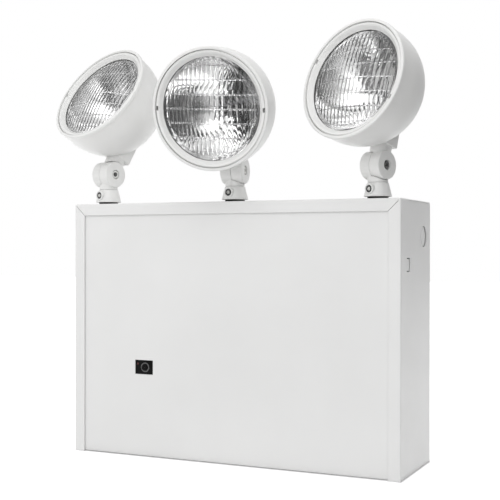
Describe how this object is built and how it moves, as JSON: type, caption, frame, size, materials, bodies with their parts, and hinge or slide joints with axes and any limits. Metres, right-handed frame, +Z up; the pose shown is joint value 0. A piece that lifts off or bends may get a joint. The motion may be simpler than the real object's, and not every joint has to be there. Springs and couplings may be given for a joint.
{
  "type": "emergency light",
  "caption": "White steel emergency light cabinet with round sealed-beam lamp heads on swivel knuckles along its top and a small test switch in the front cover.",
  "frame": {"origin": "centre of the cabinet's flat bottom face", "axes": "+Z up, the front cover faces -Y and the wall side +Y, +X to the right of someone facing the cover"},
  "size_m": [0.443, 0.1785, 0.4628],
  "materials": {
    "white_paint": "smooth white powder coat",
    "white_moulding": "satin white moulding",
    "zinc_steel": "zinc-plated",
    "dark_steel": "blackened",
    "black_rubber": "matt black",
    "black_plastic": "satin black",
    "white_button": "gloss white",
    "red_pilot": "clear red, unlit",
    "lens_glass": "pressed clear glass with flutes",
    "silvered_glass": "aluminised",
    "tungsten": "grey metal",
    "battery_case": "matt dark grey",
    "tinned_brass": "tinned",
    "core_steel": "laminated, varnished",
    "copper_winding": "enamelled copper",
    "board_green": "satin green",
    "terminal_grey": "satin grey"
  },
  "bodies": {
    "cabinet": {"cabinet_shell": "white_paint", "front_cover": "white_paint", "collar_left": "white_moulding", "collar_middle": "white_moulding", "collar_right": "white_moulding", "lock_screws": "dark_steel", "cover_screws": "zinc_steel", "collar_locknuts": "zinc_steel", "transformer_brackets": "zinc_steel", "transformer_screws": "zinc_steel", "board_standoffs": "zinc_steel", "board_screws": "zinc_steel", "battery_tray": "zinc_steel", "battery_strap": "zinc_steel", "collar_gaskets": "black_rubber", "switch_insert": "black_plastic", "test_switch": "black_plastic", "transfer_relay": "black_plastic", "pilot_lamp": "red_pilot", "battery": "battery_case", "battery_terminals": "tinned_brass", "transformer_core": "core_steel", "transformer_coil": "copper_winding", "charger_board": "board_green", "terminal_block": "terminal_grey"},
    "test_button": {"test_button": "white_button"},
    "pan_left": {"knuckle_lower_left": "white_moulding", "tilt_nut_left": "zinc_steel"},
    "head_left": {"knuckle_upper_left": "white_moulding", "head_shell_left": "white_moulding", "tilt_bolt_left": "zinc_steel", "saddle_screw_left": "zinc_steel", "bezel_left": "white_moulding", "lens_left": "lens_glass", "reflector_left": "silvered_glass", "filament_left": "tungsten", "lamp_terminals_left": "zinc_steel"},
    "pan_middle": {"knuckle_lower_middle": "white_moulding", "tilt_nut_middle": "zinc_steel"},
    "head_middle": {"knuckle_upper_middle": "white_moulding", "head_shell_middle": "white_moulding", "tilt_bolt_middle": "zinc_steel", "saddle_screw_middle": "zinc_steel", "bezel_middle": "white_moulding", "lens_middle": "lens_glass", "reflector_middle": "silvered_glass", "filament_middle": "tungsten", "lamp_terminals_middle": "zinc_steel"},
    "pan_right": {"knuckle_lower_right": "white_moulding", "tilt_nut_right": "zinc_steel"},
    "head_right": {"knuckle_upper_right": "white_moulding", "head_shell_right": "white_moulding", "tilt_bolt_right": "zinc_steel", "saddle_screw_right": "zinc_steel", "bezel_right": "white_moulding", "lens_right": "lens_glass", "reflector_right": "silvered_glass", "filament_right": "tungsten", "lamp_terminals_right": "zinc_steel"}
  },
  "joints": [
    {"name": "pan_left", "type": "hinge", "parent": "cabinet", "child": "pan_left", "pos_m": [-0.162, -0.0335, 0.3164], "axis": [0, 0, 1], "range_deg": [-74.8, 105.2]},
    {"name": "tilt_left", "type": "hinge", "parent": "pan_left", "child": "head_left", "pos_m": [-0.162, -0.0335, 0.3164], "axis": [-0.965, 0.2622, 0], "range_deg": [-51.9, 58.1]},
    {"name": "pan_middle", "type": "hinge", "parent": "cabinet", "child": "pan_middle", "pos_m": [0, -0.0335, 0.3164], "axis": [0, 0, 1], "range_deg": [-35.2, 24.8]},
    {"name": "tilt_middle", "type": "hinge", "parent": "pan_middle", "child": "head_middle", "pos_m": [0, -0.0335, 0.3164], "axis": [-0.9959, -0.0906, 0], "range_deg": [-8.4, 101.6]},
    {"name": "pan_right", "type": "hinge", "parent": "cabinet", "child": "pan_right", "pos_m": [0.162, -0.0335, 0.3164], "axis": [0, 0, 1], "range_deg": [-68.9, 111.1]},
    {"name": "tilt_right", "type": "hinge", "parent": "pan_right", "child": "head_right", "pos_m": [0.162, -0.0335, 0.3164], "axis": [-0.933, 0.36, 0], "range_deg": [-34.9, 75.1]},
    {"name": "test_press", "type": "slide", "parent": "cabinet", "child": "test_button", "axis": [0, 1, 0], "range_m": [0, 0.002], "stiffness_N_per_m": 400, "springref_m": -0.001}
  ]
}
